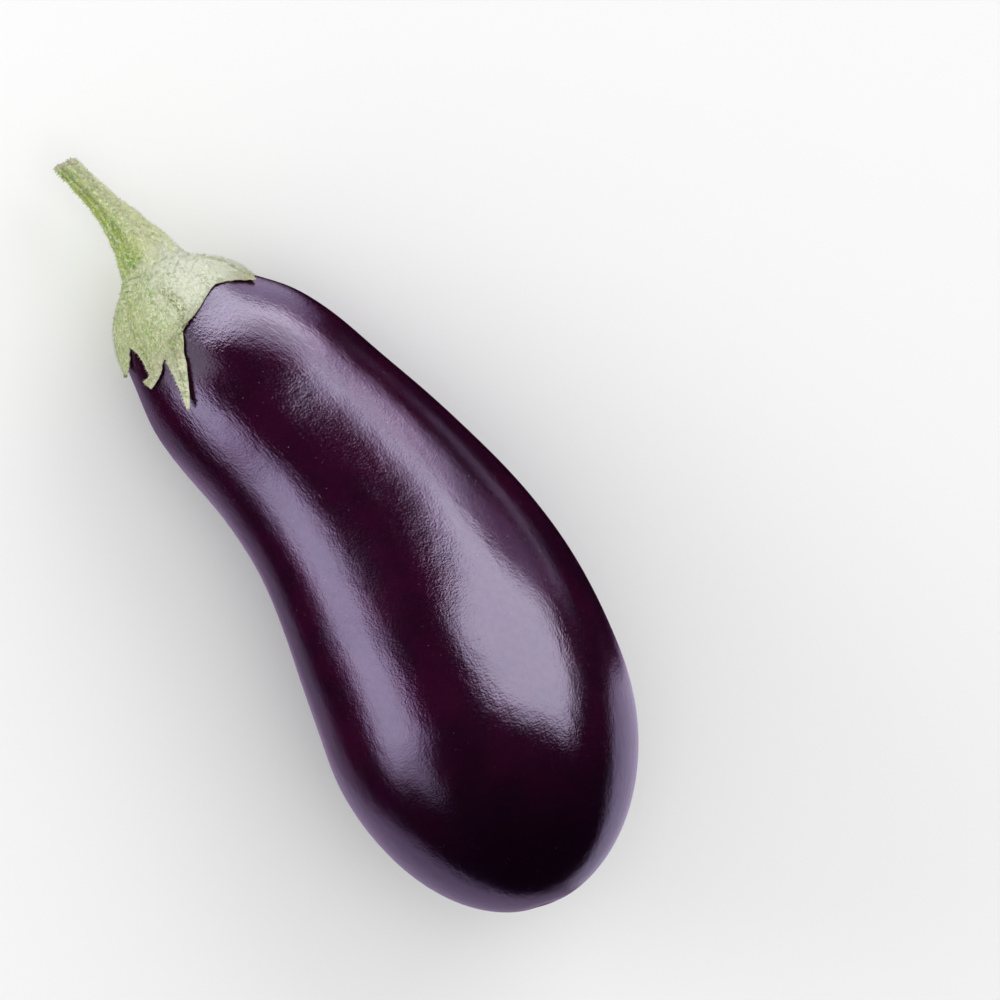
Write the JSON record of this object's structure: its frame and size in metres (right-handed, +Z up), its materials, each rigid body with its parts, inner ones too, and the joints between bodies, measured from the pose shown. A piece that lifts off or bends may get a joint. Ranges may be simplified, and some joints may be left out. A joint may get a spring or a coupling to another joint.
{
  "type": "eggplant",
  "caption": "Whole eggplant lying on its side: long curved pear-shaped fruit with a glossy dark purple skin, and a green cap of pointed sepals running into a tapered stem.",
  "frame": {"origin": "under the centre of the whole, in the surface that it lies on", "axes": "+X towards the blossom end and -X towards the stem, roughly along the longest extent; +Y level, towards the outer side of the fruit's bend; +Z up"},
  "size_m": [0.2358, 0.0864, 0.0834],
  "materials": {
    "skin": "thin waxy skin, very dark purple, high gloss with a fine orange-peel texture",
    "cap_green": "matt and slightly downy, pale yellow-green with darker green streaks along its ribs"
  },
  "bodies": {
    "root": {"fruit": "skin", "calyx_stem": "cap_green"}
  },
  "joints": []
}
